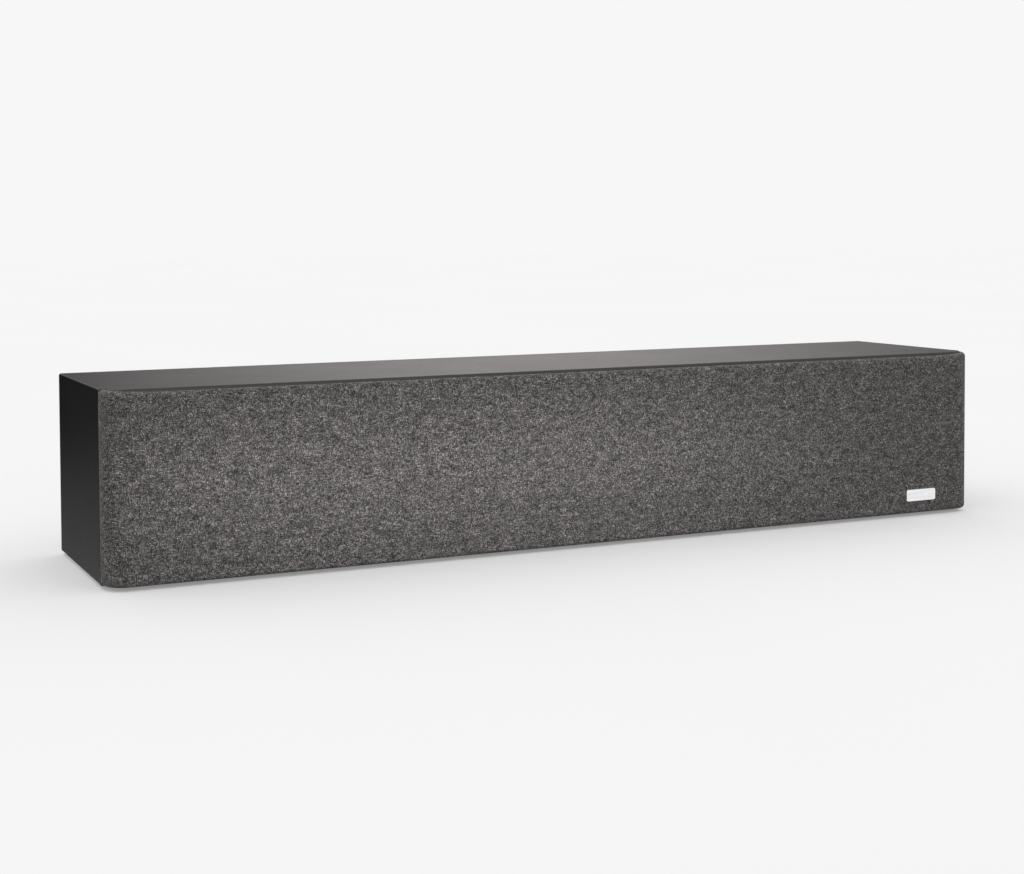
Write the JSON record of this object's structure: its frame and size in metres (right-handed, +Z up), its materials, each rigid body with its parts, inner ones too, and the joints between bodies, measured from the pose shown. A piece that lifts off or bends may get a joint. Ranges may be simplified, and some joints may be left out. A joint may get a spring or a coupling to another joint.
{
  "type": "lcr speaker",
  "caption": "Slim bar loudspeaker for left, centre or right use: satin black mitred cabinet, charcoal cloth grille wrapped round both ends, recessed terminals at the back.",
  "frame": {"origin": "centre of the overall box on the plane that the feet stand on", "axes": "+Z up, +X along the cabinet towards the end with the bare plate, cloth front faces -Y"},
  "size_m": [0.692, 0.148, 0.128],
  "materials": {
    "cabinet_wrap": "satin black vinyl over fibreboard, fine grain",
    "baffle_paint": "matte black paint on fibreboard",
    "raw_board": "bare fibreboard",
    "grille_cloth": "charcoal heathered acoustic cloth",
    "black_plastic": "fine textured black plastic",
    "nickel": "nickel plated",
    "bare_plate": "plain satin aluminium, no marking",
    "basket_paint": "black powder coat",
    "surround_rubber": "soft black rubber",
    "cone_skin": "dark grey moulded pulp",
    "coil": "aluminium former with copper winding",
    "spider_cloth": "treated woven cotton",
    "ferrite": "raw ferrite",
    "zinc_steel": "zinc plated",
    "dome": "satin anodised",
    "plated_brass": "plated, polished",
    "red_cap": "clear red tinted plastic",
    "black_cap": "black plastic",
    "hanger_steel": "black zinc",
    "black_screws": "black oxide",
    "foot_rubber": "matte black rubber",
    "circuit_board": "green solder mask",
    "copper_winding": "enamelled copper wire",
    "capacitor_film": "yellow film",
    "wadding": "white polyester wadding"
  },
  "bodies": {
    "cabinet": {"baffle_magnets": "nickel", "bare_plate": "bare_plate", "binding_post_left": "plated_brass", "binding_post_right": "plated_brass", "bottom_panel": "cabinet_wrap", "brace_left": "raw_board", "brace_right": "raw_board", "capacitor": "capacitor_film", "crossover_board": "circuit_board", "damping_pad_left": "wadding", "damping_pad_right": "wadding", "foot_front_left": "foot_rubber", "foot_front_right": "foot_rubber", "foot_rear_left": "foot_rubber", "foot_rear_right": "foot_rubber", "front_baffle": "baffle_paint", "grille_cloth": "grille_cloth", "grille_frame": "black_plastic", "grille_magnets": "nickel", "hanger_plate_left": "hanger_steel", "hanger_plate_right": "hanger_steel", "inductor": "copper_winding", "left_panel": "cabinet_wrap", "post_nuts": "plated_brass", "radiator_left_frame": "black_plastic", "radiator_left_surround": "surround_rubber", "radiator_right_frame": "black_plastic", "radiator_right_surround": "surround_rubber", "rear_panel": "cabinet_wrap", "right_panel": "cabinet_wrap", "screws": "black_screws", "terminal_cup": "black_plastic", "top_panel": "cabinet_wrap", "tweeter_faceplate": "black_plastic", "tweeter_magnet": "ferrite", "tweeter_surround": "surround_rubber", "tweeter_top_plate": "zinc_steel", "tweeter_yoke": "zinc_steel", "woofer_left_basket": "basket_paint", "woofer_left_magnet": "ferrite", "woofer_left_spider": "spider_cloth", "woofer_left_surround": "surround_rubber", "woofer_left_yoke": "zinc_steel", "woofer_right_basket": "basket_paint", "woofer_right_magnet": "ferrite", "woofer_right_spider": "spider_cloth", "woofer_right_surround": "surround_rubber", "woofer_right_yoke": "zinc_steel"},
    "woofer_left_moving": {"woofer_left_cone": "cone_skin", "woofer_left_voice_coil": "coil"},
    "woofer_right_moving": {"woofer_right_cone": "cone_skin", "woofer_right_voice_coil": "coil"},
    "radiator_left_moving": {"radiator_left_cone": "cone_skin"},
    "radiator_right_moving": {"radiator_right_cone": "cone_skin"},
    "tweeter_moving": {"tweeter_dome": "dome"},
    "washer_left_moving": {"clamp_washer_left": "plated_brass"},
    "washer_right_moving": {"clamp_washer_right": "plated_brass"},
    "cap_left_moving": {"post_cap_left": "red_cap"},
    "cap_right_moving": {"post_cap_right": "black_cap"}
  },
  "joints": [
    {"name": "woofer_left_stroke", "type": "slide", "parent": "cabinet", "child": "woofer_left_moving", "axis": [0, -1, 0], "range_m": [-0.003, 0.003], "stiffness_N_per_m": 1200, "deforming": ["woofer_left_surround", "woofer_left_spider"]},
    {"name": "radiator_left_stroke", "type": "slide", "parent": "cabinet", "child": "radiator_left_moving", "axis": [0, -1, 0], "range_m": [-0.004, 0.004], "stiffness_N_per_m": 600, "deforming": ["radiator_left_surround"]},
    {"name": "woofer_right_stroke", "type": "slide", "parent": "cabinet", "child": "woofer_right_moving", "axis": [0, -1, 0], "range_m": [-0.003, 0.003], "stiffness_N_per_m": 1200, "deforming": ["woofer_right_surround", "woofer_right_spider"]},
    {"name": "radiator_right_stroke", "type": "slide", "parent": "cabinet", "child": "radiator_right_moving", "axis": [0, -1, 0], "range_m": [-0.004, 0.004], "stiffness_N_per_m": 600, "deforming": ["radiator_right_surround"]},
    {"name": "tweeter_stroke", "type": "slide", "parent": "cabinet", "child": "tweeter_moving", "axis": [0, -1, 0], "range_m": [-0.0003, 0.0003], "stiffness_N_per_m": 3000, "deforming": ["tweeter_surround"]},
    {"name": "washer_left_slide", "type": "slide", "parent": "cabinet", "child": "washer_left_moving", "axis": [0, 1, 0], "range_m": [0, 0.0028]},
    {"name": "cap_left_turn", "type": "hinge", "parent": "washer_left_moving", "child": "cap_left_moving", "pos_m": [-0.0095, 0.06, 0.065], "axis": [0, 1, 0], "range_deg": [0, 1440]},
    {"name": "washer_right_slide", "type": "slide", "parent": "cabinet", "child": "washer_right_moving", "axis": [0, 1, 0], "range_m": [0, 0.0028]},
    {"name": "cap_right_turn", "type": "hinge", "parent": "washer_right_moving", "child": "cap_right_moving", "pos_m": [0.0095, 0.06, 0.065], "axis": [0, 1, 0], "range_deg": [0, 1440]}
  ],
  "couplings": [
    {"joint": "washer_left_slide", "follows": "cap_left_turn", "m_per_rad": 0.0001114},
    {"joint": "washer_right_slide", "follows": "cap_right_turn", "m_per_rad": 0.0001114}
  ]
}
